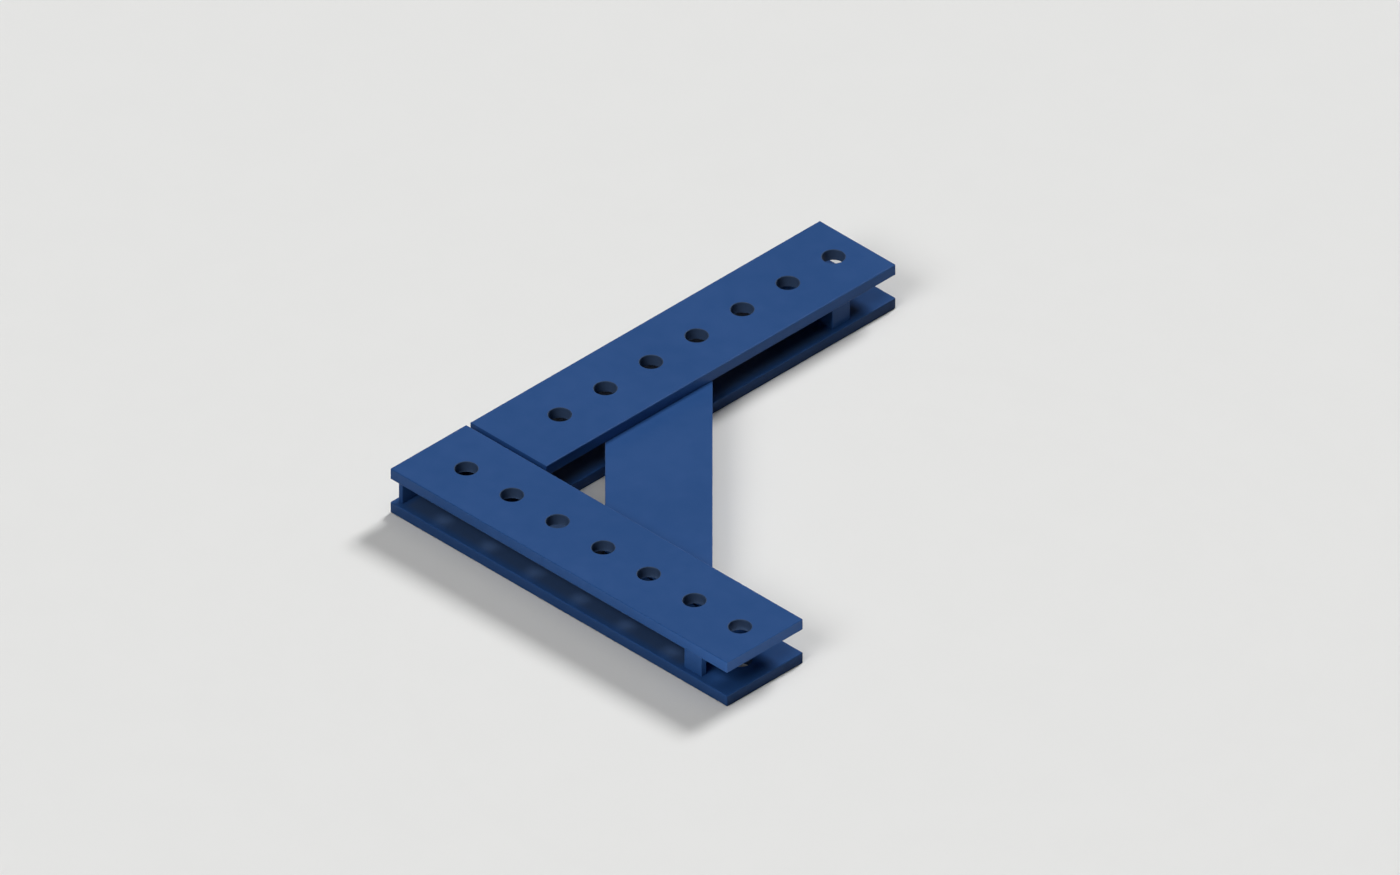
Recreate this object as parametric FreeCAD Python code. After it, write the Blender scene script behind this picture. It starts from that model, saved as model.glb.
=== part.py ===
import FreeCAD, Part
import math
import os

# Corner connector: two legs at a right angle, each an upper and a lower flat bar held apart by
# spacers, with a pair of flat braces across the corner. It lies flat between the webs of a pair
# of steel channels, and pins through its holes hold it there.
# X runs along leg A and Y along leg B, both from the corner hole's axis, and Z is up from the
# underside. All sizes are in millimetres.

# Rolled flat bar of the legs, rounded along its edges, and the break round every cut edge
bar_width = 100.0
bar_thickness = 12.0
bar_edge_radius = 1.0
cut_edge_break = 0.5

# Pin holes down the middle of each leg, the same through both bars
hole_diameter = 22.0
hole_pitch = 60.0
holes_per_leg = 7
hole_edge_break = 0.5

# Distances from a leg's end holes to the ends of its bars
leg_a_end_margin = 33.0
leg_b_start_margin = 68.0
leg_b_end_margin = 32.0

# Braces: the clearance between the two, which lie one above the other between the bars, and the
# clearances from a brace's ends to the edges of the pin holes and from its tip to leg A's U spacer
brace_width = 100.0
brace_thickness = 12.0
brace_clearance = 2.0
brace_to_holes = 9.0
brace_to_u_spacer = 27.0

# Cross plate at the corner, and the plate that stands in the groove between the legs
corner_spacer_thickness = 5.0
groove_width = 5.0
joint_plate_recess = 7.0

# U spacers, cut from rolled channel and standing on its cut faces, open towards the free ends
channel_thickness = 6.0
channel_root_radius = 4.0
channel_corner_radius = 1.0
u_spacer_depth = 23.0
leg_a_u_spacer_from_end = 39.0
leg_b_u_spacer_from_end = 55.0

# How far every spacer stands back from the outer edges of the bars
spacer_setback = 5.5

# Weld beads: leg lengths of the fillets, the height of the groove beads, the crown of a bead's
# face, and how far a bead stops short of the ends of its joint
brace_weld_leg = 6.0
spacer_weld_leg = 4.0
groove_weld_height = 2.0
weld_crown = 0.5
weld_end_margin = 6.0

# Levels and edges that follow from the sizes above
half_width = bar_width / 2
hole_radius = hole_diameter / 2
hole_row_length = (holes_per_leg - 1) * hole_pitch
bar_gap = 2 * brace_thickness + brace_clearance
upper_bar_underside = bar_thickness + bar_gap
total_height = upper_bar_underside + bar_thickness
leg_a_end = hole_row_length + leg_a_end_margin
leg_b_start = half_width + groove_width
leg_b_first_hole = leg_b_start + leg_b_start_margin
leg_b_end = leg_b_first_hole + hole_row_length + leg_b_end_margin
leg_a_web = leg_a_end - leg_a_u_spacer_from_end - u_spacer_depth
leg_b_web = leg_b_end - leg_b_u_spacer_from_end - u_spacer_depth
spacer_width = bar_width - 2 * spacer_setback

EAST = FreeCAD.Vector(1, 0, 0)
NORTH = FreeCAD.Vector(0, 1, 0)
UP = FreeCAD.Vector(0, 0, 1)
CORNER_AXIS = FreeCAD.Vector(0, 0, 0)
TOLERANCE = 0.001


def turned_to_leg_b(shape):
    """The shape turned from the X axis to the Y axis about the corner hole's axis."""
    turned = shape.copy()
    turned.rotate(CORNER_AXIS, UP, 90)
    return turned


def raised(shape, height):
    """A copy of the shape, moved up by the height."""
    copy = shape.copy()
    copy.translate(UP * height)
    return copy


def mirrored_below(shape):
    """The shape's mirror image about the middle level of the connector."""
    return shape.mirror(UP * (total_height / 2), UP)


def pin_hole(place):
    """A cutter for one pin hole with its edge broken on both faces, at this X on the middle line."""
    bore = Part.makeCylinder(hole_radius, bar_thickness, CORNER_AXIS, UP)
    mouth_radius = hole_radius + 2 * hole_edge_break
    mouth_depth = 2 * hole_edge_break
    lower_mouth = Part.makeCone(mouth_radius, hole_radius, mouth_depth, UP * -hole_edge_break, UP)
    upper_start = UP * (bar_thickness - hole_edge_break)
    upper_mouth = Part.makeCone(hole_radius, mouth_radius, mouth_depth, upper_start, UP)
    cutter = bore.fuse([lower_mouth, upper_mouth])
    cutter.translate(EAST * place)
    return cutter


def leg_bar(start, end, first_hole):
    """One flat bar of a leg along X, at the lower level, with its row of pin holes."""
    corner = FreeCAD.Vector(start, -half_width, 0)
    bar = Part.makeBox(end - start, bar_width, bar_thickness, corner)
    rolled_edges = [edge for edge in bar.Edges if edge.BoundBox.XLength > TOLERANCE]
    bar = bar.makeFillet(bar_edge_radius, rolled_edges)
    end_edges = [edge for edge in bar.Edges if edge.BoundBox.XLength < TOLERANCE]
    bar = bar.makeChamfer(cut_edge_break, end_edges)
    places = [first_hole + number * hole_pitch for number in range(holes_per_leg)]
    return bar.cut([pin_hole(place) for place in places])


def brace_outline():
    """The corners of a brace: parallel long edges at 45 degrees, ends parallel to the legs."""
    end_line = hole_radius + brace_to_holes
    outer_reach = leg_a_web - brace_to_u_spacer
    inner_reach = outer_reach - brace_width * math.sqrt(2)
    return [
        FreeCAD.Vector(inner_reach, end_line, 0),
        FreeCAD.Vector(outer_reach, end_line, 0),
        FreeCAD.Vector(end_line, outer_reach, 0),
        FreeCAD.Vector(end_line, inner_reach, 0),
    ]


def brace():
    """The upper brace, its top face against the undersides of the upper bars."""
    corners = brace_outline()
    plate = Part.Face(Part.makePolygon(corners + corners[:1])).extrude(UP * brace_thickness)
    plate = plate.makeChamfer(cut_edge_break, plate.Edges)
    return raised(plate, upper_bar_underside - brace_thickness)


def corner_spacer():
    """The plain cross plate between leg A's bars, set back from the outer corner."""
    outer = -half_width + spacer_setback
    place = FreeCAD.Vector(outer, outer, bar_thickness)
    return Part.makeBox(corner_spacer_thickness, spacer_width, bar_gap, place)


def joint_plate():
    """The cross plate that fills the groove between the legs, below both outer faces."""
    place = FreeCAD.Vector(-half_width + spacer_setback, half_width, joint_plate_recess)
    return Part.makeBox(spacer_width, groove_width, total_height - 2 * joint_plate_recess, place)


def quarter_arc(centre, radius, from_angle, to_angle):
    """A quarter arc about the centre, between two angles in degrees, in the XY plane."""
    points = []
    for angle in (from_angle, (from_angle + to_angle) / 2, to_angle):
        turn = math.radians(angle)
        points.append(centre + FreeCAD.Vector(math.cos(turn), math.sin(turn), 0) * radius)
    return Part.Arc(*points).toShape()


def u_spacer(web_place):
    """A slice of channel: its web stands across leg A at this X and its flanges point outwards."""
    side = spacer_width / 2
    corner_line = side - channel_corner_radius
    inner_side = side - channel_thickness
    root_line = inner_side - channel_root_radius
    root_place = channel_thickness + channel_root_radius
    outer_arcs = [
        quarter_arc(FreeCAD.Vector(channel_corner_radius, corner_line, 0), channel_corner_radius, 90, 180),
        quarter_arc(FreeCAD.Vector(channel_corner_radius, -corner_line, 0), channel_corner_radius, 180, 270),
    ]
    inner_arcs = [
        quarter_arc(FreeCAD.Vector(root_place, -root_line, 0), channel_root_radius, 270, 180),
        quarter_arc(FreeCAD.Vector(root_place, root_line, 0), channel_root_radius, 180, 90),
    ]
    straights = [
        ((u_spacer_depth, side), (channel_corner_radius, side)),
        ((0, corner_line), (0, -corner_line)),
        ((channel_corner_radius, -side), (u_spacer_depth, -side)),
        ((u_spacer_depth, -side), (u_spacer_depth, -inner_side)),
        ((u_spacer_depth, -inner_side), (root_place, -inner_side)),
        ((channel_thickness, -root_line), (channel_thickness, root_line)),
        ((root_place, inner_side), (u_spacer_depth, inner_side)),
        ((u_spacer_depth, inner_side), (u_spacer_depth, side)),
    ]
    edges = [
        Part.makeLine(FreeCAD.Vector(*start, 0), FreeCAD.Vector(*end, 0))
        for start, end in straights
    ]
    outline = Part.Wire(Part.__sortEdges__(edges + outer_arcs + inner_arcs))
    spacer = Part.Face(outline).extrude(UP * bar_gap)
    spacer.translate(FreeCAD.Vector(web_place, 0, bar_thickness))
    return spacer


def fillet_bead(root, end, out, up, leg):
    """A fillet weld from root to end, with legs along out and up and a slightly crowned face."""
    out_toe = root + out * leg
    up_toe = root + up * leg
    crown = (out_toe + up_toe) * 0.5 + (out + up) * (weld_crown / math.sqrt(2))
    section = Part.Wire([
        Part.makeLine(root, out_toe),
        Part.Arc(out_toe, crown, up_toe).toShape(),
        Part.makeLine(up_toe, root),
    ])
    return Part.Face(section).extrude(end - root)


def both_levels(beads):
    """The beads under the upper bars with their mirror images on the lower bars, as one group."""
    return Part.makeCompound(beads + [mirrored_below(bead) for bead in beads])


def corner_spacer_welds():
    """Fillets along the corner spacer's outer face."""
    face = -half_width + spacer_setback
    reach = spacer_width / 2 - weld_end_margin
    root = FreeCAD.Vector(face, -reach, upper_bar_underside)
    end = FreeCAD.Vector(face, reach, upper_bar_underside)
    return both_levels([fillet_bead(root, end, -EAST, -UP, spacer_weld_leg)])


def joint_plate_welds():
    """Fillets along both faces of the joint plate, inside the gap between the bars."""
    reach = spacer_width / 2 - weld_end_margin
    beads = []
    for face, out in ((half_width, -NORTH), (leg_b_start, NORTH)):
        root = FreeCAD.Vector(-reach, face, upper_bar_underside)
        end = FreeCAD.Vector(reach, face, upper_bar_underside)
        beads.append(fillet_bead(root, end, out, -UP, spacer_weld_leg))
    return both_levels(beads)


def seam_welds():
    """Beads on the floor of the groove between the legs, from one side of it to the other."""
    reach = spacer_width / 2 - weld_end_margin
    floor = total_height - joint_plate_recess
    section = Part.Wire([
        Part.makeLine(
            FreeCAD.Vector(-reach, half_width, floor),
            FreeCAD.Vector(-reach, leg_b_start, floor),
        ),
        Part.makeLine(
            FreeCAD.Vector(-reach, leg_b_start, floor),
            FreeCAD.Vector(-reach, leg_b_start, floor + groove_weld_height),
        ),
        Part.Arc(
            FreeCAD.Vector(-reach, leg_b_start, floor + groove_weld_height),
            FreeCAD.Vector(-reach, half_width + groove_width / 2, floor + groove_weld_height - weld_crown),
            FreeCAD.Vector(-reach, half_width, floor + groove_weld_height),
        ).toShape(),
        Part.makeLine(
            FreeCAD.Vector(-reach, half_width, floor + groove_weld_height),
            FreeCAD.Vector(-reach, half_width, floor),
        ),
    ])
    return both_levels([Part.Face(section).extrude(EAST * (2 * reach))])


def upper_brace_welds():
    """Fillets along the two ends of the upper brace, under the upper bars."""
    near, far, _, _ = brace_outline()
    level = UP * upper_bar_underside
    root = near + EAST * weld_end_margin + level
    end = far - EAST * weld_end_margin + level
    on_leg_a = fillet_bead(root, end, -NORTH, -UP, brace_weld_leg)
    swapped_root = FreeCAD.Vector(root.y, root.x, root.z)
    swapped_end = FreeCAD.Vector(end.y, end.x, end.z)
    on_leg_b = fillet_bead(swapped_root, swapped_end, -EAST, -UP, brace_weld_leg)
    return Part.makeCompound([on_leg_a, on_leg_b])


def u_spacer_welds(web_place):
    """Fillets inside a U spacer, along its web and its two flanges, for a web at this X on leg A."""
    root_place = channel_thickness + channel_root_radius
    web_reach = spacer_width / 2 - root_place - weld_end_margin
    flange = spacer_width / 2 - channel_thickness
    web_face = web_place + channel_thickness
    flange_start = web_place + root_place
    flange_end = web_place + u_spacer_depth - spacer_weld_leg
    level = upper_bar_underside
    beads = [
        fillet_bead(
            FreeCAD.Vector(web_face, -web_reach, level),
            FreeCAD.Vector(web_face, web_reach, level),
            EAST, -UP, spacer_weld_leg,
        )
    ]
    for side in (-1, 1):
        beads.append(
            fillet_bead(
                FreeCAD.Vector(flange_start, side * flange, level),
                FreeCAD.Vector(flange_end, side * flange, level),
                NORTH * -side, -UP, spacer_weld_leg,
            )
        )
    return both_levels(beads)


def build():
    """All pieces of the connector, by node name."""
    leg_a_bar = leg_bar(-half_width, leg_a_end, 0.0)
    leg_b_bar = turned_to_leg_b(leg_bar(leg_b_start, leg_b_end, leg_b_first_hole))
    upper_brace = brace()
    brace_beads = upper_brace_welds()
    return {
        "leg_a_upper_plate": raised(leg_a_bar, upper_bar_underside),
        "leg_a_lower_plate": leg_a_bar,
        "leg_b_upper_plate": raised(leg_b_bar, upper_bar_underside),
        "leg_b_lower_plate": leg_b_bar,
        "upper_brace": upper_brace,
        "lower_brace": mirrored_below(upper_brace),
        "corner_spacer": corner_spacer(),
        "joint_plate": joint_plate(),
        "leg_a_u_spacer": u_spacer(leg_a_web),
        "leg_b_u_spacer": turned_to_leg_b(u_spacer(leg_b_web)),
        "corner_spacer_welds": corner_spacer_welds(),
        "joint_plate_welds": joint_plate_welds(),
        "seam_welds": seam_welds(),
        "upper_brace_welds": brace_beads,
        "lower_brace_welds": mirrored_below(brace_beads),
        "leg_a_u_spacer_welds": u_spacer_welds(leg_a_web),
        "leg_b_u_spacer_welds": turned_to_leg_b(u_spacer_welds(leg_b_web)),
    }


os.makedirs("parts", exist_ok=True)
for node, shape in build().items():
    shape.exportStep(f"parts/{node}.step")
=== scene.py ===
"""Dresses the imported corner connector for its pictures.

The flat bars, the braces and the U spacers keep the solids that they were packed with and get
their satin blue paint. The weld beads are modelled here, ripple by ripple, and so are the two
sheared cross plates: they stand for the plain ones. Lengths are in metres, and the origin is the
corner hole's axis on the underside.
"""

import logging
import math
import random
from dataclasses import dataclass, field
from enum import Enum
from typing import Any, Callable, Dict, List, Optional, Sequence, Tuple, Union

import bmesh
import bpy
from mathutils import Matrix, Vector


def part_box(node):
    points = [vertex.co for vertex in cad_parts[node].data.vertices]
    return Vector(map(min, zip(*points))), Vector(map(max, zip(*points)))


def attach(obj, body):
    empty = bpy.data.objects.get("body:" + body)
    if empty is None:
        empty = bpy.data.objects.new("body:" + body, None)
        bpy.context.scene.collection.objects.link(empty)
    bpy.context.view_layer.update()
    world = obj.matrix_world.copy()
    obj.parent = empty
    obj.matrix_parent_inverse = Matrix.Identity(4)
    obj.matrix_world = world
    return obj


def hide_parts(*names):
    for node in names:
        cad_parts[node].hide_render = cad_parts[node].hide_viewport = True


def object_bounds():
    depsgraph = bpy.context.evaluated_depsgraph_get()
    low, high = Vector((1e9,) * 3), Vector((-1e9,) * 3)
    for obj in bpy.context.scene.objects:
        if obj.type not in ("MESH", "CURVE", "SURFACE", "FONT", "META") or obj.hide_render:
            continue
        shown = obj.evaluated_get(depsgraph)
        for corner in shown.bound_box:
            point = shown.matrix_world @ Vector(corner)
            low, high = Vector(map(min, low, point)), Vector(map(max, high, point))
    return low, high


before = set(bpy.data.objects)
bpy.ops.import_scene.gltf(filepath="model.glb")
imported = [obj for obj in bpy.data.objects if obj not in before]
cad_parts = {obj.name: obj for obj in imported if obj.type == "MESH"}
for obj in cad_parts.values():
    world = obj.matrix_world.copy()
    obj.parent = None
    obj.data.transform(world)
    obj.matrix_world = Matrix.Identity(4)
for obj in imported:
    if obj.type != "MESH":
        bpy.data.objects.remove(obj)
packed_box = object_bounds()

log = logging.getLogger("corner_connector")

MM = 0.001
EAST = Vector((1, 0, 0))
NORTH = Vector((0, 1, 0))
UP = Vector((0, 0, 1))

# Sizes and places that are nearer to each other than this count as the same.
SAME = 0.01 * MM
# A point that is further than this share of a length lies at its far end.
FAR_END = 0.9

Colour = Tuple[float, float, float]
Number = Union["Value", float]
Feed = Union["Value", bpy.types.NodeSocket, float, Sequence[float]]
Shade = Union[Colour, bpy.types.NodeSocket]
# The lowest and the highest corner.
Box = Tuple[Vector, Vector]
# Gives the way that a bead stands out, from its middle and its size along each axis.
Outward = Callable[[Vector, Vector], Vector]


class Value:
    """A number that varies over a surface. Python's operators on it add Math nodes."""

    def __init__(self, graph: "Graph", socket: bpy.types.NodeSocket) -> None:
        """Wraps a socket.

        Args:
            graph: the graph that the socket is in.
            socket: the output that carries the number.
        """
        self.graph = graph
        self.socket = socket

    def __add__(self, other: Number) -> "Value":
        """Adds a number."""
        return self.graph.math("ADD", self, other)

    def __sub__(self, other: Number) -> "Value":
        """Takes a number away."""
        return self.graph.math("SUBTRACT", self, other)

    def __rsub__(self, other: Number) -> "Value":
        """Takes this from a number."""
        return self.graph.math("SUBTRACT", other, self)

    def __mul__(self, other: Number) -> "Value":
        """Multiplies by a number."""
        return self.graph.math("MULTIPLY", self, other)

    def __abs__(self) -> "Value":
        """Drops the sign."""
        return self.graph.math("ABSOLUTE", self)

    __radd__ = __add__
    __rmul__ = __mul__

    def rising(self, low: float, high: float) -> "Value":
        """Turns the number into a mask with a soft edge.

        Args:
            low: where the mask starts to rise from 0.
            high: where it reaches 1; below low, the mask falls instead.

        Returns:
            The mask, from 0 to 1.
        """
        ends = {"From Min": low, "From Max": high}
        settings = {"interpolation_type": "SMOOTHSTEP"}
        node = self.graph.add("ShaderNodeMapRange", settings, {"Value": self, **ends})
        return Value(self.graph, node.outputs["Result"])


class Graph:
    """The nodes of a material or of the surroundings."""

    def __init__(self, owner: Union[bpy.types.Material, bpy.types.World]) -> None:
        """Starts an empty graph.

        Args:
            owner: the material or the world that the graph belongs to.
        """
        self.owner = owner
        self.owner.use_nodes = True
        self.owner.node_tree.nodes.clear()

    def add(
        self,
        kind: str,
        settings: Optional[Dict[str, Any]] = None,
        feeds: Optional[Dict[Union[int, str], Feed]] = None,
    ) -> bpy.types.Node:
        """Adds a node.

        Args:
            kind: the node's type.
            settings: its settings, which are set first.
            feeds: the value or link of each socket that isn't left as it is.

        Returns:
            The new node.
        """
        tree = self.owner.node_tree
        node = tree.nodes.new(kind)
        for name, setting in (settings or {}).items():
            setattr(node, name, setting)
        for key, feed in (feeds or {}).items():
            source = feed.socket if isinstance(feed, Value) else feed
            if isinstance(source, bpy.types.NodeSocket):
                tree.links.new(source, node.inputs[key])
            else:
                node.inputs[key].default_value = source
        return node

    def math(self, operation: str, *numbers: Number) -> Value:
        """Adds a Math node.

        Args:
            operation: what it does.
            numbers: its inputs, in order.

        Returns:
            Its result.
        """
        node = self.add("ShaderNodeMath", {"operation": operation}, dict(enumerate(numbers)))
        return Value(self, node.outputs[0])

    def length(self, first: Value, second: Value) -> Value:
        """Gives how far a point is from the origin, from its two coordinates."""
        return self.math("SQRT", first * first + second * second)

    def split(self, vector: bpy.types.NodeSocket) -> Tuple[Value, Value, Value]:
        """Gives the three parts of a vector."""
        parts = self.add("ShaderNodeSeparateXYZ", feeds={0: vector}).outputs
        return Value(self, parts[0]), Value(self, parts[1]), Value(self, parts[2])

    def place(self) -> bpy.types.NodeSocket:
        """Gives the point on the surface, in the object's own frame."""
        return self.add("ShaderNodeTexCoord").outputs["Object"]

    def facing(self) -> Tuple[Value, Value, Value]:
        """Gives the three parts of the surface's direction, in the object's own frame."""
        return self.split(self.add("ShaderNodeTexCoord").outputs["Normal"])

    def in_view(self) -> Value:
        """Marks what the camera sees, directly, in a gloss or through glass.

        Returns:
            A number that is 1 or more for those rays, and 0 for the light on dull surfaces.
        """
        rays = self.add("ShaderNodeLightPath").outputs
        kinds = ("Is Camera Ray", "Is Glossy Ray", "Is Transmission Ray")
        direct, mirrored, through = (Value(self, rays[kind]) for kind in kinds)
        return direct + mirrored + through

    def drawn_out(
        self,
        start: Sequence[float],
        heading: float = 0.0,
        stretch: Sequence[float] = (1.0, 1.0, 1.0),
    ) -> bpy.types.NodeSocket:
        """Moves, turns and stretches the frame that a pattern is read in.

        Args:
            start: where the frame's origin is.
            heading: the direction of the frame's first axis, in degrees from the X axis.
            stretch: how many times longer the pattern gets along each of its axes.

        Returns:
            The point in that frame.
        """
        turn = (0.0, 0.0, math.radians(heading))
        feeds = {"Vector": self.place(), "Location": start, "Rotation": turn, "Scale": stretch}
        return self.add("ShaderNodeMapping", {"vector_type": "TEXTURE"}, feeds).outputs[0]

    def noise(self, point: bpy.types.NodeSocket, grain: float, detail: float = 2.0) -> Value:
        """Adds a noise.

        Args:
            point: where it is read.
            grain: the size of its spots.
            detail: how many finer layers it has.

        Returns:
            The noise, about a half on average.
        """
        feeds = {"Vector": point, "Scale": 1.0 / grain, "Detail": detail}
        return Value(self, self.add("ShaderNodeTexNoise", feeds=feeds).outputs[0])

    def blended(self, mask: Number, first: Shade, second: Shade) -> bpy.types.NodeSocket:
        """Mixes two colours.

        Args:
            mask: how much of the second shows.
            first: the colour where the mask is 0.
            second: the colour where it is 1.

        Returns:
            The mixed colour.
        """
        feeds: Dict[Union[int, str], Feed] = {0: mask}
        # Its colour sockets go by number, because other sockets have the same names.
        for key, shade in ((6, first), (7, second)):
            feeds[key] = (*shade, 1.0) if isinstance(shade, tuple) else shade
        return self.add("ShaderNodeMix", {"data_type": "RGBA"}, feeds).outputs[2]

    def relief(self, height: Value) -> bpy.types.NodeSocket:
        """Turns a height in millimetres into a bumped normal."""
        return self.add("ShaderNodeBump", feeds={"Distance": MM, "Height": height}).outputs[0]

    def close(self, shader: bpy.types.Node) -> None:
        """Ends the graph.

        Args:
            shader: the node that the surface or the surroundings show.
        """
        in_world = isinstance(self.owner, bpy.types.World)
        kind = "ShaderNodeOutputWorld" if in_world else "ShaderNodeOutputMaterial"
        self.add(kind, feeds={"Surface": shader.outputs[0]})


@dataclass(frozen=True)
class ToolMarks:
    """The fine lines that a way of cutting leaves under the paint.

    Attributes:
        stretch: how far the lines are drawn out along the bar, across it and upwards.
        pitch: the distance between them.
        height: how high they stand, in millimetres.
        roughness: how much rougher they make the paint.
    """

    stretch: Tuple[float, float, float]
    pitch: float
    height: float
    roughness: float


class Cut(Enum):
    """How the edges of a piece were made."""

    ROLLED = ToolMarks((40.0, 1.0, 1.0), 2.5 * MM, 0.012, 0.0)
    SAWN = ToolMarks((1.0, 1.0, 25.0), 0.8 * MM, 0.034, 0.03)
    BORED = ToolMarks((25.0, 25.0, 1.0), 0.6 * MM, 0.026, 0.05)
    SHEARED = ToolMarks((1.0, 1.0, 14.0), 1.5 * MM, 0.030, 0.04)


@dataclass(frozen=True)
class Steel:
    """The steel under the paint of one piece.

    Attributes:
        heading: the direction in which it was rolled, in degrees from the X axis.
        ends: how its ends were cut.
        seed: what sets its patterns apart from the other pieces'.
        end_depth: how far in from its ends the marks of that cut reach at most.
        end_fade: over what distance they fade out there.
        upright: the upward parts of a face's direction between which it stops being an edge.
    """

    heading: float
    ends: Cut
    seed: int
    end_depth: float = 1.5 * MM
    end_fade: float = 0.5 * MM
    upright: Tuple[float, float] = (0.4, 0.8)

    def marks(self, graph: Graph, cut: Cut, start: Sequence[float]) -> Value:
        """Draws the lines of one kind of cut.

        Args:
            graph: the material's graph.
            cut: the kind of cut.
            start: where the pattern's frame starts.

        Returns:
            Their height in millimetres.
        """
        lines = cut.value
        point = graph.drawn_out(start, self.heading, lines.stretch)
        return graph.noise(point, lines.pitch, detail=1.0) * lines.height

    def end_mask(self, graph: Graph, node: str) -> Value:
        """Marks the end faces of a bar.

        Args:
            graph: the material's graph.
            node: the CAD node's name.

        Returns:
            A mask that is 1 on the edges within a millimetre of the bar's two ends.
        """
        low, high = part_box(node)
        middle, half = (low + high) / 2, (high - low) / 2
        axis = 0 if half.x > half.y else 1
        away = abs(graph.split(graph.place())[axis] - middle[axis])
        fade_start = half[axis] - self.end_depth
        edge = 1.0 - abs(graph.facing()[2]).rising(*self.upright)
        return edge * away.rising(fade_start, fade_start + self.end_fade)


@dataclass(frozen=True)
class LegBar(Steel):
    """A leg's flat bar, with shade painted on its pin holes' walls and on its inner face deep in
    the gap.

    Attributes:
        first_hole: where its first pin hole is along the leg.
        inward: 1 if its upper face looks into the gap between the bars, -1 if its lower face does.
        sheltered: the stretch of that gap that the spacers close off.
        hole_radius: the radius of its pin holes.
        hole_pitch: the distance between them.
        rim: how far round a hole its marks reach in full.
        rim_fade: over what distance they end.
        row_fade: the same at the start of the row of holes.
        level: the upward parts of a face's direction between which it becomes a level one.
        mouth: how far in from the bar's long edges the painted shade in the gap gets full.
        spacer_fade: how far from the spacers it does.
        gap_shade_strength: how much of the painted shade's greyer blue shows where that shade is
            full.
    """

    first_hole: float = 0.0
    inward: float = 1.0
    sheltered: Tuple[float, float] = (0.0, 0.0)
    hole_radius: float = 11.0 * MM
    hole_pitch: float = 60.0 * MM
    rim: float = 0.3 * MM
    rim_fade: float = 0.6 * MM
    row_fade: float = 1.0 * MM
    level: Tuple[float, float] = (0.5, 0.8)
    mouth: float = 12.0 * MM
    spacer_fade: float = 8.0 * MM
    gap_shade_strength: float = 0.7

    def run(self, graph: Graph) -> Tuple[Value, Value]:
        """Gives a point's places along the leg and across it."""
        east, north, _ = graph.split(graph.place())
        return (east, north) if self.heading == 0.0 else (north, east)

    def bores(self, graph: Graph) -> Value:
        """Marks the pin holes.

        Args:
            graph: the material's graph.

        Returns:
            A mask that is 1 on the holes' walls and their broken edges.
        """
        along, across = self.run(graph)
        half = self.hole_pitch / 2
        reach = graph.length(graph.math("WRAP", along - self.first_hole, half, -half), across)
        row_start = self.first_hole - half
        rim = self.hole_radius + self.rim
        on_row = along.rising(row_start, row_start + self.row_fade)
        return reach.rising(rim + self.rim_fade, rim) * on_row

    def painted_gap_shade(self, graph: Graph, node: str) -> Value:
        """Marks where shade is painted: the part of the inner face that lies deep in the gap.

        Args:
            graph: the material's graph.
            node: the CAD node's name.

        Returns:
            A mask of the painted shade, which rises from the bar's long edges inwards.
        """
        along, across = self.run(graph)
        low, high = self.sheltered
        fade = self.spacer_fade
        edge = min((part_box(node)[1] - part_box(node)[0]).xy) / 2
        face = (graph.facing()[2] * self.inward).rising(*self.level)
        depth = abs(across).rising(edge, edge - self.mouth)
        stretch = along.rising(low, low + fade) * along.rising(high, high - fade)
        return face * depth * stretch


def scattered(seed: int) -> List[float]:
    """Draws where a piece's patterns start, so that no two pieces are alike."""
    dice = random.Random(seed)
    return [dice.uniform(-1.0, 1.0) for _ in range(3)]


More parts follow.
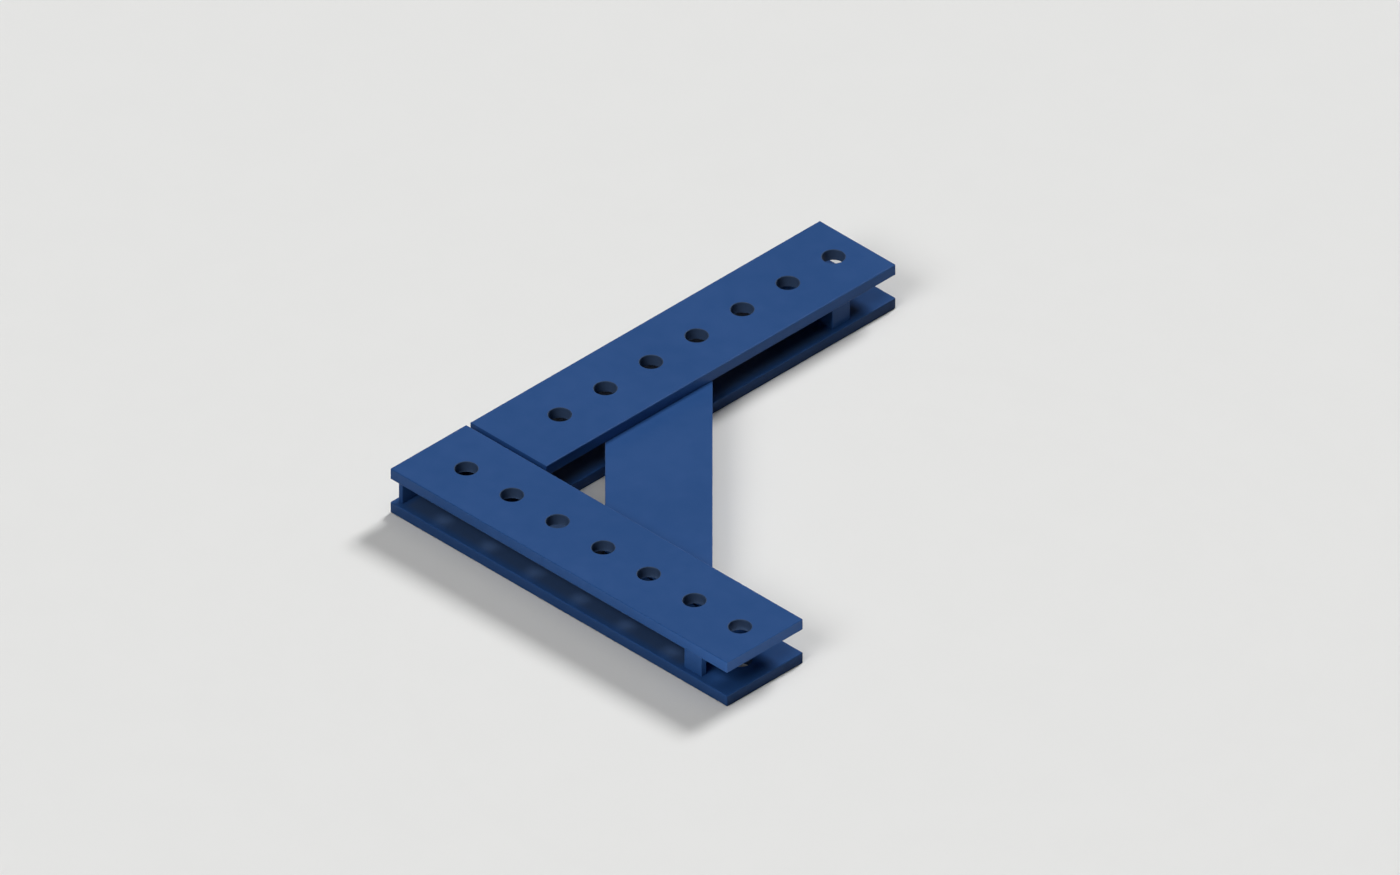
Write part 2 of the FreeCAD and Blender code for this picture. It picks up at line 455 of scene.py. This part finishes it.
@dataclass(frozen=True)
class BluePaint:
    """Satin blue paint, sprayed on steel.

    Attributes:
        deep: the paint's colour where it lies thickest.
        light: its colour where it lies a little thinner.
        painted_recess_shade: a greyer, darker blue painted as shade in the pin holes and the bars'
            gap.
        roughness: how dull it is.
        shine: how strongly it reflects.
        cloud_grain: the size of the broad clouds of thicker and thinner paint.
        cloud_range: the part of the clouds' range over which the colour changes.
        flow_grain: the size of the slow waves in which the paint levelled.
        flow_share: how much those waves have in the clouds.
        flow_height: how high they are, in millimetres.
        flow_dulling: how much duller their crests are than their troughs.
        peel_grain: the size of the sprayed skin's dimples.
        peel_height: how deep they are, in millimetres.
        peel_dulling: how much duller their rims are than their bottoms.
        scale_grain: the size of the grains of weld scale under the paint.
        scale_height: how high they stand, in millimetres.
        scale_dulling: how much duller they make the paint.
    """

    deep: Colour = (0.0180, 0.0655, 0.2030)
    light: Colour = (0.0220, 0.0720, 0.2180)
    # A greyer, slightly darker blue that stands in for shade in the pin holes and the gap.
    painted_recess_shade: Colour = (0.0460, 0.0800, 0.1560)
    roughness: float = 0.35
    shine: float = 0.105
    cloud_grain: float = 160.0 * MM
    cloud_range: Tuple[float, float] = (0.3, 0.7)
    flow_grain: float = 18.0 * MM
    flow_share: float = 0.4
    flow_height: float = 0.022
    flow_dulling: float = 0.10
    peel_grain: float = 1.8 * MM
    peel_height: float = 0.016
    peel_dulling: float = 0.06
    scale_grain: float = 0.7 * MM
    scale_height: float = 0.02
    scale_dulling: float = 0.05

    def skin(
        self, graph: Graph, start: Sequence[float]
    ) -> Tuple[bpy.types.NodeSocket, Value, Value]:
        """Makes what the paint is like on any surface.

        Args:
            graph: the material's graph.
            start: where the pattern's frame starts.

        Returns:
            The colour, the roughness and the height in millimetres.
        """
        point = graph.drawn_out(start)
        broad = graph.noise(point, self.cloud_grain, detail=1.0)
        flow = graph.noise(point, self.flow_grain)
        peel = graph.noise(point, self.peel_grain)
        cloud = broad * (1.0 - self.flow_share) + flow * self.flow_share
        colour = graph.blended(cloud.rising(*self.cloud_range), self.deep, self.light)
        dullness = (flow - 0.5) * self.flow_dulling + (peel - 0.5) * self.peel_dulling
        height = flow * self.flow_height + peel * self.peel_height
        return colour, self.roughness + dullness, height

    def finish(
        self, graph: Graph, colour: bpy.types.NodeSocket, dullness: Value, height: Value
    ) -> None:
        """Puts the paint's parts together and ends the graph.

        Args:
            graph: the material's graph.
            colour: the paint's colour.
            dullness: its roughness.
            height: its height in millimetres.
        """
        feeds = {
            "Base Color": colour,
            "Roughness": dullness,
            "Specular IOR Level": self.shine,
            "Normal": graph.relief(height),
        }
        graph.close(graph.add("ShaderNodeBsdfPrincipled", feeds=feeds))

    def on_steel(self, node: str, steel: Steel) -> bpy.types.Material:
        """Paints a bar, a plate or a slice of channel.

        Args:
            node: the CAD node's name.
            steel: the steel under the paint.

        Returns:
            The painted steel.
        """
        material = bpy.data.materials.new(f"blue_paint_on_{node}")
        graph, start = Graph(material), scattered(steel.seed)
        colour, dullness, height = self.skin(graph, start)
        cut_off = steel.end_mask(graph, node)
        height = height + steel.marks(graph, Cut.ROLLED, start) * (1.0 - cut_off)
        height = height + steel.marks(graph, steel.ends, start) * cut_off
        dullness = dullness + cut_off * steel.ends.value.roughness
        if isinstance(steel, LegBar):
            bores = steel.bores(graph)
            # Shade is painted here: a greyer, darker blue on the pin holes' walls and deep in the
            # gap between the bars.
            painted_recess_shade = graph.math("MAXIMUM", bores, steel.painted_gap_shade(graph, node) * steel.gap_shade_strength)
            colour = graph.blended(painted_recess_shade, colour, self.painted_recess_shade)
            height = height + steel.marks(graph, Cut.BORED, start) * bores
            dullness = dullness + painted_recess_shade * Cut.BORED.value.roughness
        self.finish(graph, colour, dullness, height)
        return material

    def on_beads(self, name: str, seed: int) -> bpy.types.Material:
        """Paints weld beads.

        Args:
            name: the piece's name.
            seed: what sets its patterns apart from the other pieces'.

        Returns:
            The painted beads' material.
        """
        material = bpy.data.materials.new(f"blue_paint_on_{name}")
        graph, start = Graph(material), scattered(seed)
        colour, dullness, height = self.skin(graph, start)
        scale = graph.noise(graph.drawn_out(start), self.scale_grain) * self.scale_height
        self.finish(graph, colour, dullness + self.scale_dulling, height + scale)
        return material


def start_fresh() -> None:
    """Leaves edit mode and clears the selection."""
    if bpy.context.object and bpy.context.object.mode != "OBJECT":
        bpy.ops.object.mode_set(mode="OBJECT")
    bpy.ops.object.select_all(action="DESELECT")


def take_up(*pieces: bpy.types.Object) -> None:
    """Selects pieces and makes the first one active.

    Args:
        pieces: the pieces to work on.
    """
    start_fresh()
    for piece in pieces:
        piece.select_set(True)
    bpy.context.view_layer.objects.active = pieces[0]


def edit_whole() -> None:
    """Opens the active piece's mesh for editing, with all of it selected."""
    bpy.ops.object.mode_set(mode="EDIT")
    bpy.ops.mesh.select_mode(type="VERT")
    bpy.ops.mesh.select_all(action="SELECT")


def settle() -> None:
    """Applies the active piece's place, turn and size to its mesh."""
    bpy.ops.object.transform_apply(location=True, rotation=True, scale=True)


def face_outwards() -> None:
    """Turns all faces of the mesh in hand outwards and leaves edit mode."""
    bpy.ops.mesh.select_all(action="SELECT")
    bpy.ops.mesh.normals_make_consistent(inside=False)
    bpy.ops.object.mode_set(mode="OBJECT")


def pick(piece: bpy.types.Object, wanted: Callable[[Vector], bool]) -> None:
    """Selects the points of a mesh in edit mode by their place.

    Args:
        piece: the piece whose mesh is edited.
        wanted: says of a place whether its point is selected.
    """
    bpy.ops.mesh.select_all(action="DESELECT")
    form = bmesh.from_edit_mesh(piece.data)
    for point in form.verts:
        point.select = wanted(point.co)
    form.select_flush(True)
    bmesh.update_edit_mesh(piece.data)


class Section(Enum):
    """The section of a weld bead."""

    FILLET = "fills the corner between two plates"
    GROOVE = "lies across the bottom of a groove"


@dataclass(frozen=True)
class Seat:
    """Where one bead lies.

    Attributes:
        root: the end of the line in which the welded faces meet, where the welder started.
        travel: the direction in which the bead runs.
        out: the direction along the face that it stands out on.
        up: the direction away from the other face.
        length: how long the bead is.
        width: how far it reaches out.
        height: how far it reaches up.
    """

    root: Vector
    travel: Vector
    out: Vector
    up: Vector
    length: float
    width: float
    height: float

    @classmethod
    def in_box(cls, low: Vector, high: Vector, out: Vector, up: Vector) -> "Seat":
        """Seats a bead in the box of its plain solid.

        Args:
            low: the box's lowest corner.
            high: its highest corner.
            out: the direction along the face that the bead stands out on.
            up: the direction away from the other face.

        Returns:
            The seat.
        """
        travel = EAST if abs(out.y) > abs(out.x) else NORTH
        root = Vector(low)
        for axis in range(3):
            if out[axis] + up[axis] < 0:
                root[axis] = high[axis]
        spans = [abs((high - low).dot(way)) for way in (travel, out, up)]
        return cls(root, travel, out, up, *spans)

    def matrix(self) -> Matrix:
        """Gives the turn and the shift that bring a modelled bead to this seat."""
        turned = Matrix((self.travel, self.out, self.up)).transposed().to_4x4()
        return Matrix.Translation(self.root) @ turned


@dataclass
class WeldGun:
    """Lays weld beads: each length is modelled once, ripple by ripple, and copied to its seats.

    Attributes:
        start: how a bead swells at its start: how far along, as a share of its width, and how
            large, as a share of its full size.
        finish: how it dies out at its end, with the places counted back from the end.
        last_ripple: how far from the end the ripples stop, as a share of the bead's width.
        ripple: the length of one ripple as a share of the bead's width.
        spread: the shortest and the longest ripple, as shares of that length.
        crest: the smallest and the largest crest of a ripple, as shares of the bead's size.
        wave: the form of a ripple: how far on, as a share of its length, and how deep there, as a
            share of the dip.
        dip: how deep the ripples are, as a share of the bead's size.
        bow: how far the middle of a ripple runs ahead, as a share of the bead's size.
        crown: how far a fillet's outer corner is pulled in, as a share of its size.
        crown_round: how far from there it is rounded, as a share of its width.
        crown_faces: how many faces round it.
        face: how far from the root a fillet's face begins, as a share of its size.
        hollow: how a groove bead sinks: how far from its middle, as a share of its width, and
            how deep, as a share of its height.
        hollow_points: how many points across its top it sinks at.
        smooth: the angle up to which its faces are shaded as one, in degrees.
        seed: what the ripples' unevenness is drawn from.
        laid: the beads modelled so far, by section and size.
    """

    start: Tuple[Tuple[float, float], ...] = ((0.05, 0.56), (0.14, 0.78), (0.29, 0.94))
    finish: Tuple[Tuple[float, float], ...] = (
        (0.34, 0.97),
        (0.18, 0.87),
        (0.07, 0.68),
        (0.0, 0.40),
    )
    last_ripple: float = 0.9
    ripple: float = 0.34
    spread: Tuple[float, float] = (0.85, 1.15)
    crest: Tuple[float, float] = (0.985, 1.0)
    wave: Tuple[Tuple[float, float], ...] = ((0.50, 0.2), (0.35, 0.0), (0.15, 1.0))
    dip: float = 0.050
    bow: float = 0.22
    crown: float = 0.40
    crown_round: float = 0.34
    crown_faces: int = 6
    face: float = 0.25
    hollow: Tuple[Tuple[float, float], ...] = ((0.3, 0.16), (0.1, 0.09))
    hollow_points: int = 3
    smooth: float = 50.0
    seed: int = 7
    laid: Dict[Tuple[Section, int, int, int], bpy.types.Object] = field(default_factory=dict)

    def start_face(self, section: Section, width: float, height: float) -> bpy.types.Object:
        """Draws a bead's section as a face across the line of travel.

        Args:
            section: the section's kind.
            width: how far it reaches out.
            height: how far it reaches up.

        Returns:
            The new object, in edit mode with the face selected.
        """
        start_fresh()
        turn = (math.pi / 2, 0.0, math.pi / 2)
        middle = (0.0, width / 2, height / 2)
        bpy.ops.mesh.primitive_plane_add(size=1.0, location=middle, rotation=turn)
        bead = bpy.context.object
        bead.dimensions = (width, height, 0.0)
        settle()
        edit_whole()
        if section is Section.FILLET:
            self.raise_crown(bead, width, height)
        else:
            self.sink_middle(bead, width, height)
        bpy.ops.mesh.select_all(action="SELECT")
        return bead

    def raise_crown(self, bead: bpy.types.Object, width: float, height: float) -> None:
        """Rounds a square section into a crowned fillet.

        Args:
            bead: the bead in edit mode.
            width: how far it reaches out.
            height: how far it reaches up.
        """
        pick(bead, lambda at: at.y > width * FAR_END and at.z > height * FAR_END)
        pull = (0.0, -self.crown * width, -self.crown * height)
        bpy.ops.transform.translate(value=pull)
        offset = self.crown_round * width
        bpy.ops.mesh.bevel(affect="VERTICES", offset=offset, segments=self.crown_faces)
        pick(bead, lambda at: at.y > width * self.face and at.z > height * self.face)
        bpy.ops.transform.translate(value=(self.bow * width, 0.0, 0.0))

    def sink_middle(self, bead: bpy.types.Object, width: float, height: float) -> None:
        """Sinks the top of a square section in the middle.

        Args:
            bead: the bead in edit mode.
            width: how wide it is.
            height: how high its sides are.
        """
        pick(bead, lambda at: at.z > height * FAR_END)
        bpy.ops.mesh.subdivide(number_cuts=self.hollow_points)
        for reach, sink in self.hollow:
            pick(bead, lambda at: at.z > height / 2 and abs(at.y - width / 2) < reach * width)
            bpy.ops.transform.translate(value=(self.bow * width / 2, 0.0, -sink * height))

    def model(self, section: Section, seat: Seat) -> bpy.types.Object:
        """Models a bead along the X axis from the origin.

        Args:
            section: the section's kind.
            seat: a seat of the bead's size.

        Returns:
            The bead.
        """
        bead = self.start_face(section, seat.width, seat.height)
        dice = random.Random(self.seed + len(self.laid))
        sideways = section is Section.FILLET
        at, size = 0.0, self.finish[-1][1]

        def swell(place: float, ratio: float) -> None:
            """Swells or shrinks the end of the bead about the root line.

            Args:
                place: where the end is along the bead.
                ratio: how many times larger it gets.
            """
            grow = (1.0, ratio if sideways else 1.0, ratio)
            bpy.ops.transform.resize(value=grow, center_override=(place, 0.0, 0.0))

        def step(to: float, scale: float) -> None:
            """Draws the end of the bead out and gives it a new size.

            Args:
                to: how far along the bead it goes.
                scale: how large it is there, as a share of the bead's full size.
            """
            nonlocal at, size
            move = {"value": (to - at, 0.0, 0.0)}
            bpy.ops.mesh.extrude_region_move(TRANSFORM_OT_translate=move)
            swell(to, scale / size)
            at, size = to, scale

        end = seat.length - self.bow * seat.width
        swell(at, size)
        for share, scale in self.start:
            step(share * seat.width, scale)
        while at < end - self.last_ripple * seat.width:
            pitch = self.ripple * seat.width * dice.uniform(*self.spread)
            top = dice.uniform(*self.crest)
            for share, depth in self.wave:
                step(at + share * pitch, top - depth * self.dip)
        for share, scale in self.finish:
            step(end - share * seat.width, scale)
        face_outwards()
        bpy.ops.object.shade_smooth_by_angle(angle=math.radians(self.smooth))
        return bead

    def lay(self, section: Section, seat: Seat) -> bpy.types.Object:
        """Puts a bead on its seat, with the same bead modelled only once.

        Args:
            section: the section's kind.
            seat: where the bead lies.

        Returns:
            The bead in its place.
        """
        size = [round(span / SAME) for span in (seat.length, seat.width, seat.height)]
        key = (section, *size)
        if key not in self.laid:
            self.laid[key] = self.model(section, seat)
        take_up(self.laid[key])
        bpy.ops.object.duplicate(linked=False)
        bead = bpy.context.object
        bead.matrix_world = seat.matrix()
        settle()
        bpy.ops.object.mode_set(mode="EDIT")
        face_outwards()
        return bead

    def put_away(self) -> None:
        """Removes the beads that the others were copied from."""
        take_up(*self.laid.values())
        bpy.ops.object.delete()
        self.laid.clear()


def plain_beads(node: str) -> List[Box]:
    """Finds the separate beads that a CAD weld node holds.

    Args:
        node: the node's name.

    Returns:
        The lowest and highest corner of each bead.
    """
    take_up(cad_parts[node])
    bpy.ops.object.duplicate(linked=False)
    edit_whole()
    bpy.ops.mesh.remove_doubles(threshold=SAME)
    bpy.ops.mesh.separate(type="LOOSE")
    bpy.ops.object.mode_set(mode="OBJECT")
    boxes = []
    for part in bpy.context.selected_objects:
        points = [point.co for point in part.data.vertices]
        low = Vector([min(point[axis] for point in points) for axis in range(3)])
        high = Vector([max(point[axis] for point in points) for axis in range(3)])
        boxes.append((low, high))
    bpy.ops.object.delete()
    return sorted(boxes, key=lambda box: tuple(box[0]))


@dataclass(frozen=True)
class Shear:
    """Cuts small plates from sheet, which leaves their edges rolled over and their cut faces torn.

    Attributes:
        roll: the radius to which the edges are rolled over.
        faces: how many faces round such an edge.
        burnish: the share of the thickness that the blade cut before the rest tore away.
        tear: how far the torn part falls back at each end.
        sharp: the angle from which an edge is rolled over, in degrees.
        smooth: the angle up to which the faces are shaded as one, in degrees.
    """

    roll: float = 0.6 * MM
    faces: int = 3
    burnish: float = 0.35
    tear: float = 0.3 * MM
    sharp: float = 30.0
    smooth: float = 35.0

    def cut(self, node: str, through: Vector) -> bpy.types.Object:
        """Cuts a plate to the size of a plain solid, in its place.

        Args:
            node: the solid's node.
            through: the way in which the blade went through the sheet.

        Returns:
            The plate.
        """
        low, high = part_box(node)
        middle, size = (low + high) / 2, high - low
        start_fresh()
        bpy.ops.mesh.primitive_cube_add(size=1.0, location=middle)
        plate = bpy.context.object
        plate.dimensions = size
        settle()
        edit_whole()
        thick = abs(size.dot(through))
        start = middle - through * thick / 2
        line = start + through * thick * self.burnish
        bpy.ops.mesh.bisect(plane_co=line, plane_no=through)
        pick(plate, lambda at: (at - start).dot(through) > thick * FAR_END)
        ends = NORTH if abs(through.x) > abs(through.y) else EAST
        fallen = Vector((1.0, 1.0, 1.0)) - ends * (2 * self.tear / abs(size.dot(ends)))
        bpy.ops.transform.resize(value=fallen, center_override=middle)
        bpy.ops.mesh.select_all(action="DESELECT")
        bpy.ops.mesh.select_mode(type="EDGE")
        bpy.ops.mesh.edges_select_sharp(sharpness=math.radians(self.sharp))
        bpy.ops.mesh.bevel(affect="EDGES", offset=self.roll, segments=self.faces)
        face_outwards()
        bpy.ops.object.shade_smooth_by_angle(angle=math.radians(self.smooth))
        return plate


@dataclass
class SubAssembly:
    """A group of pieces that are painted and welded together.

    Attributes:
        paint: the finish of all its pieces.
        gun: what lays its weld beads.
        seed: what its pieces' patterns are drawn from.
    """

    paint: BluePaint
    gun: WeldGun
    seed: int

    def dress(self, node: str, steel: Steel) -> None:
        """Paints a CAD node that keeps its solid.

        Args:
            node: the node's name.
            steel: the steel under its paint.
        """
        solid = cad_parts[node]
        solid.data.materials.clear()
        solid.data.materials.append(self.paint.on_steel(node, steel))
        log.info("%s: painted", node)

    def stand_in(
        self, piece: bpy.types.Object, name: str, node: str, coat: bpy.types.Material
    ) -> None:
        """Names and paints a modelled piece and puts it in a CAD node's place.

        Args:
            piece: the modelled piece.
            name: its name.
            node: the node that it stands for.
            coat: its painted surface.
        """
        piece.name = piece.data.name = name
        piece.data.materials.clear()
        piece.data.materials.append(coat)
        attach(piece, "root")
        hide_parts(node)
        log.info("%s: %d faces", name, len(piece.data.polygons))

    def weld(self, node: str, section: Section, out: Outward) -> None:
        """Lays the rippled beads that stand for a plain weld node.

        Args:
            node: the node's name.
            section: the section of its beads.
            out: gives the way that a bead stands out, from its middle and its size.
        """
        middle_height = (packed_box[0].z + packed_box[1].z) / 2
        beads = []
        for low, high in plain_beads(node):
            middle = (low + high) / 2
            up = UP if middle.z < middle_height else -UP
            if section is Section.GROOVE:
                up = -up
            seat = Seat.in_box(low, high, out(middle, high - low), up)
            beads.append(self.gun.lay(section, seat))
        take_up(*beads)
        bpy.ops.object.join()
        name = f"{node}_rippled"
        self.stand_in(bpy.context.object, name, node, self.paint.on_beads(name, self.seed))


class Side(Enum):
    """The two legs, by the direction in which they run."""

    A = EAST
    B = NORTH


@dataclass
class Leg(SubAssembly):
    """One leg: two bars with pin holes, and a slice of channel between them near the free end.

    Attributes:
        side: which leg it is.
        first_hole: where its first pin hole is along the leg.
        inner_end: the cross plate that closes the gap between its bars at the corner.
    """

    side: Side = Side.A
    first_hole: float = 0.0
    inner_end: str = "corner_spacer"

    def build(self) -> None:
        """Paints the leg's pieces and welds its U spacer in."""
        name = f"leg_{self.side.name.lower()}"
        spacer = f"{name}_u_spacer"
        heading = 0.0 if self.side is Side.A else 90.0
        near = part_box(self.inner_end)[1].dot(self.side.value)
        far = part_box(spacer)[0].dot(self.side.value)
        for number, (part, inward) in enumerate((("upper_plate", -1.0), ("lower_plate", 1.0))):
            bar = LegBar(
                heading,
                Cut.SAWN,
                self.seed + number,
                first_hole=self.first_hole,
                inward=inward,
                sheltered=(near, far),
            )
            self.dress(f"{name}_{part}", bar)
        self.dress(spacer, Steel(heading + 90.0, Cut.SAWN, self.seed + 2))
        self.weld(f"{spacer}_welds", Section.FILLET, self.away_from_spacer)

    def away_from_spacer(self, middle: Vector, size: Vector) -> Vector:
        """Gives the way that a bead stands out of the U spacer's inside corner.

        Args:
            middle: the bead's middle.
            size: its size along each axis.

        Returns:
            Along the leg from the web, or towards the leg's middle line from a flange.
        """
        across = NORTH if self.side is Side.A else EAST
        if abs(size.dot(across)) > abs(size.dot(self.side.value)):
            return self.side.value
        return across if middle.dot(across) < 0 else -across


@dataclass
class BracePair(SubAssembly):
    """The two bars across the corner, lapped on the legs' inner faces.

    Attributes:
        heading: the direction in which they run, in degrees from the X axis.
    """

    heading: float = 135.0

    def build(self) -> None:
        """Paints the braces and welds their ends to the legs."""
        for number, level in enumerate(("upper", "lower")):
            self.dress(f"{level}_brace", Steel(self.heading, Cut.SHEARED, self.seed + number))
            self.weld(f"{level}_brace_welds", Section.FILLET, self.towards_corner)

    def towards_corner(self, middle: Vector, size: Vector) -> Vector:
        """Gives the way that a bead stands out of a brace's end.

        Args:
            middle: the bead's middle; not used.
            size: its size along each axis.

        Returns:
            Across the leg that the bead lies on, away from the brace.
        """
        return -NORTH if size.x > size.y else -EAST


@dataclass
class CornerJoint(SubAssembly):
    """What joins the legs at the corner: a cross plate at the end, and one in the groove.

    Attributes:
        shear: what cuts the cross plates.
    """

    shear: Shear = Shear()

    def fit(self, node: str, through: Vector, steel: Steel) -> None:
        """Fits a sheared plate in place of a plain one.

        Args:
            node: the plain plate's node.
            through: the way in which the blade went through the sheet.
            steel: the steel under its paint.
        """
        plate = self.shear.cut(node, through)
        self.stand_in(plate, f"{node}_sheared", node, self.paint.on_steel(node, steel))

    def build(self) -> None:
        """Fits the cross plates and lays the beads round them."""
        self.fit("corner_spacer", EAST, Steel(heading=90.0, ends=Cut.SHEARED, seed=self.seed))
        self.fit("joint_plate", NORTH, Steel(heading=0.0, ends=Cut.SHEARED, seed=self.seed + 1))
        self.weld("corner_spacer_welds", Section.FILLET, lambda middle, size: -EAST)
        self.weld("joint_plate_welds", Section.FILLET, self.away_from_plate)
        self.weld("seam_welds", Section.GROOVE, lambda middle, size: NORTH)

    def away_from_plate(self, middle: Vector, size: Vector) -> Vector:
        """Gives the way that a bead stands out of the joint plate.

        Args:
            middle: the bead's middle.
            size: its size along each axis; not used.

        Returns:
            Across the plate, away from it.
        """
        low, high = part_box("joint_plate")
        return NORTH if middle.y > (low.y + high.y) / 2 else -NORTH


class Light(Enum):
    """The kinds of lamp in the studio, by Blender's names for them."""

    FAR = "SUN"
    CARD = "AREA"


@dataclass(frozen=True)
class Lamp:
    """A lamp of the studio.

    Attributes:
        name: what the lamp is called.
        kind: whether it shines from far away or from a card of its own size.
        power: its strength.
        towards: the direction in which it shines.
        spread: a far lamp's width in degrees, or a card's in metres.
        tall: a card's height in metres.
        place: where a card stands.
    """

    name: str
    kind: Light
    power: float
    towards: Tuple[float, float, float]
    spread: float
    tall: float = 1.0
    place: Tuple[float, float, float] = (0.0, 0.0, 2.0)

    def hang(self) -> None:
        """Adds the lamp to the scene."""
        start_fresh()
        bpy.ops.object.light_add(type=self.kind.value, location=self.place)
        lamp = bpy.context.object
        lamp.name = lamp.data.name = self.name
        lamp.rotation_euler = Vector(self.towards).to_track_quat("-Z", "Y").to_euler()
        lamp.data.energy = self.power
        if self.kind is Light.FAR:
            lamp.data.angle = math.radians(self.spread)
        else:
            lamp.data.shape = "RECTANGLE"
            lamp.data.size = self.spread
            lamp.data.size_y = self.tall


@dataclass(frozen=True)
class Studio:
    """The pale floor, the soft light and the camera of the reference view.

    Attributes:
        floor_size: the floor's width.
        floor_drop: how far below the object it lies.
        floor_colour: what the camera sees of it.
        floor_grain: the size of its faint clouds.
        floor_shade: how light the darkest of them are, as a share of its colour.
        bounce_near: how much light it throws back at the object from close to it.
        bounce_far: how much it throws back from further away.
        near: how far from the legs the floor still throws back little.
        far: how far from them it throws back all that it does.
        sky: the colour of the light from all around.
        sky_power: how strong that light is.
        backdrop_top: how high the pale backdrop stands, as the upward part of a direction.
        ceiling: where the studio's dim ceiling starts, in the same way.
        lamps: the lamps.
        target: the point in the middle of the picture.
        azimuth: the camera's direction round the object, in degrees.
        elevation: its height above the horizon, in degrees.
        distance: how far it stands away.
        field_of_view: the width of what it sees.
    """

    floor_size: float = 16.0
    floor_drop: float = 0.3 * MM
    floor_colour: Colour = (0.76, 0.76, 0.75)
    floor_grain: float = 60.0 * MM
    floor_shade: float = 0.98
    bounce_near: Colour = (0.04, 0.04, 0.04)
    bounce_far: Colour = (0.85, 0.85, 0.85)
    near: float = 50.0 * MM
    far: float = 110.0 * MM
    sky: Colour = (0.94, 0.97, 1.0)
    sky_power: float = 0.02
    backdrop_top: float = 0.42
    ceiling: float = 0.56
    lamps: Tuple[Lamp, ...] = (
        Lamp("key", Light.FAR, 2.62, (0.18, -1.22, -1.0), 15.5),
        Lamp("overhead", Light.FAR, 0.64, (0.0, 0.0, -1.0), 60.0),
        Lamp("front_fill", Light.FAR, 1.36, (-0.10, 1.0, -0.85), 30.0),
        Lamp("near_card", Light.CARD, 0.98, (0.0, 0.0, 1.0), 0.34, 0.26, (0.50, -0.28, 0.002)),
        Lamp("wide_card", Light.CARD, 1.17, (0.0, 0.0, 1.0), 0.70, 0.36, (0.42, -0.34, 0.002)),
        Lamp("end_card", Light.CARD, 0.38, (0.0, 0.0, 1.0), 0.24, 0.34, (0.57, -0.02, 0.002)),
        Lamp("inner_card", Light.CARD, 0.83, (0.0, 0.0, 1.0), 0.30, 0.44, (0.36, 0.46, 0.002)),
    )
    target: Tuple[float, float, float] = (0.0935, 0.2140, 0.025)
    azimuth: float = 45.0
    elevation: float = 35.264
    distance: float = 3.0
    field_of_view: float = 1.3024

    def from_legs(self, graph: Graph) -> Value:
        """Measures how far a point of the floor is from the legs.

        Args:
            graph: the floor material's graph.

        Returns:
            The distance, which is 0 under the legs.
        """
        point = graph.split(graph.place())
        distances = []
        for side in Side:
            low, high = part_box(f"leg_{side.name.lower()}_lower_plate")
            middle, half = (low + high) / 2, (high - low) / 2
            past = [abs(point[axis] - middle[axis]) - half[axis] for axis in (0, 1)]
            east, north = (graph.math("MAXIMUM", gap, 0.0) for gap in past)
            distances.append(graph.length(east, north))
        return graph.math("MINIMUM", *distances)

    def lay_floor(self) -> None:
        """Lays the floor just under the object."""
        start_fresh()
        middle = (self.target[0], self.target[1], -self.floor_drop)
        bpy.ops.mesh.primitive_plane_add(size=self.floor_size, location=middle)
        floor = bpy.context.object
        floor.name = floor.data.name = "floor"
        settle()
        material = bpy.data.materials.new("pale_floor")
        graph = Graph(material)
        clouds = graph.noise(graph.place(), self.floor_grain, detail=3.0)
        darker = tuple(part * self.floor_shade for part in self.floor_colour)
        shown = graph.blended(clouds, darker, self.floor_colour)
        clear = self.from_legs(graph).rising(self.near, self.far)
        thrown = graph.blended(clear, self.bounce_near, self.bounce_far)
        colour = graph.blended(graph.in_view(), thrown, shown)
        graph.close(graph.add("ShaderNodeBsdfDiffuse", feeds={"Color": colour}))
        floor.data.materials.append(material)

    def light_sky(self) -> None:
        """Fills the room with faint light, and shows a pale backdrop round it that throws none."""
        world = bpy.data.worlds.new("studio")
        graph = Graph(world)
        upward = graph.split(graph.add("ShaderNodeTexCoord").outputs["Generated"])[2]
        pale = graph.in_view() * upward.rising(self.ceiling, self.backdrop_top)
        shaders = []
        for colour, strength in ((self.sky, self.sky_power), (self.floor_colour, 1.0)):
            feeds = {"Color": (*colour, 1.0), "Strength": strength}
            shaders.append(graph.add("ShaderNodeBackground", feeds=feeds).outputs[0])
        feeds = {0: pale, 1: shaders[0], 2: shaders[1]}
        graph.close(graph.add("ShaderNodeMixShader", feeds=feeds))
        bpy.context.scene.world = world

    def place_camera(self) -> None:
        """Sets the camera up without perspective, on the line that shows all three axes alike."""
        start_fresh()
        turn, rise = math.radians(self.azimuth), math.radians(self.elevation)
        level = math.cos(rise)
        back = Vector((math.sin(turn) * level, -math.cos(turn) * level, math.sin(rise)))
        bpy.ops.object.camera_add(location=Vector(self.target) + back * self.distance)
        camera = bpy.context.object
        camera.name = camera.data.name = "photo_camera"
        camera.rotation_euler = (-back).to_track_quat("-Z", "Y").to_euler()
        camera.data.type = "ORTHO"
        camera.data.ortho_scale = self.field_of_view
        bpy.context.scene.camera = camera

    def build(self) -> None:
        """Sets the whole studio up."""
        self.lay_floor()
        self.light_sky()
        for lamp in self.lamps:
            lamp.hang()
        self.place_camera()
        bpy.context.scene.view_settings.view_transform = "Standard"
        log.info("studio: floor, sky, %d lamps and camera", len(self.lamps))


def main() -> None:
    """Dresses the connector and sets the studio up."""
    logging.basicConfig(level=logging.INFO, format="%(message)s")
    paint, gun = BluePaint(), WeldGun()
    Leg(paint, gun, seed=10, side=Side.A).build()
    Leg(paint, gun, seed=20, side=Side.B, first_hole=123.0 * MM, inner_end="joint_plate").build()
    BracePair(paint, gun, seed=30).build()
    CornerJoint(paint, gun, seed=40).build()
    gun.put_away()
    Studio().build()


if __name__ == "__main__":
    main()
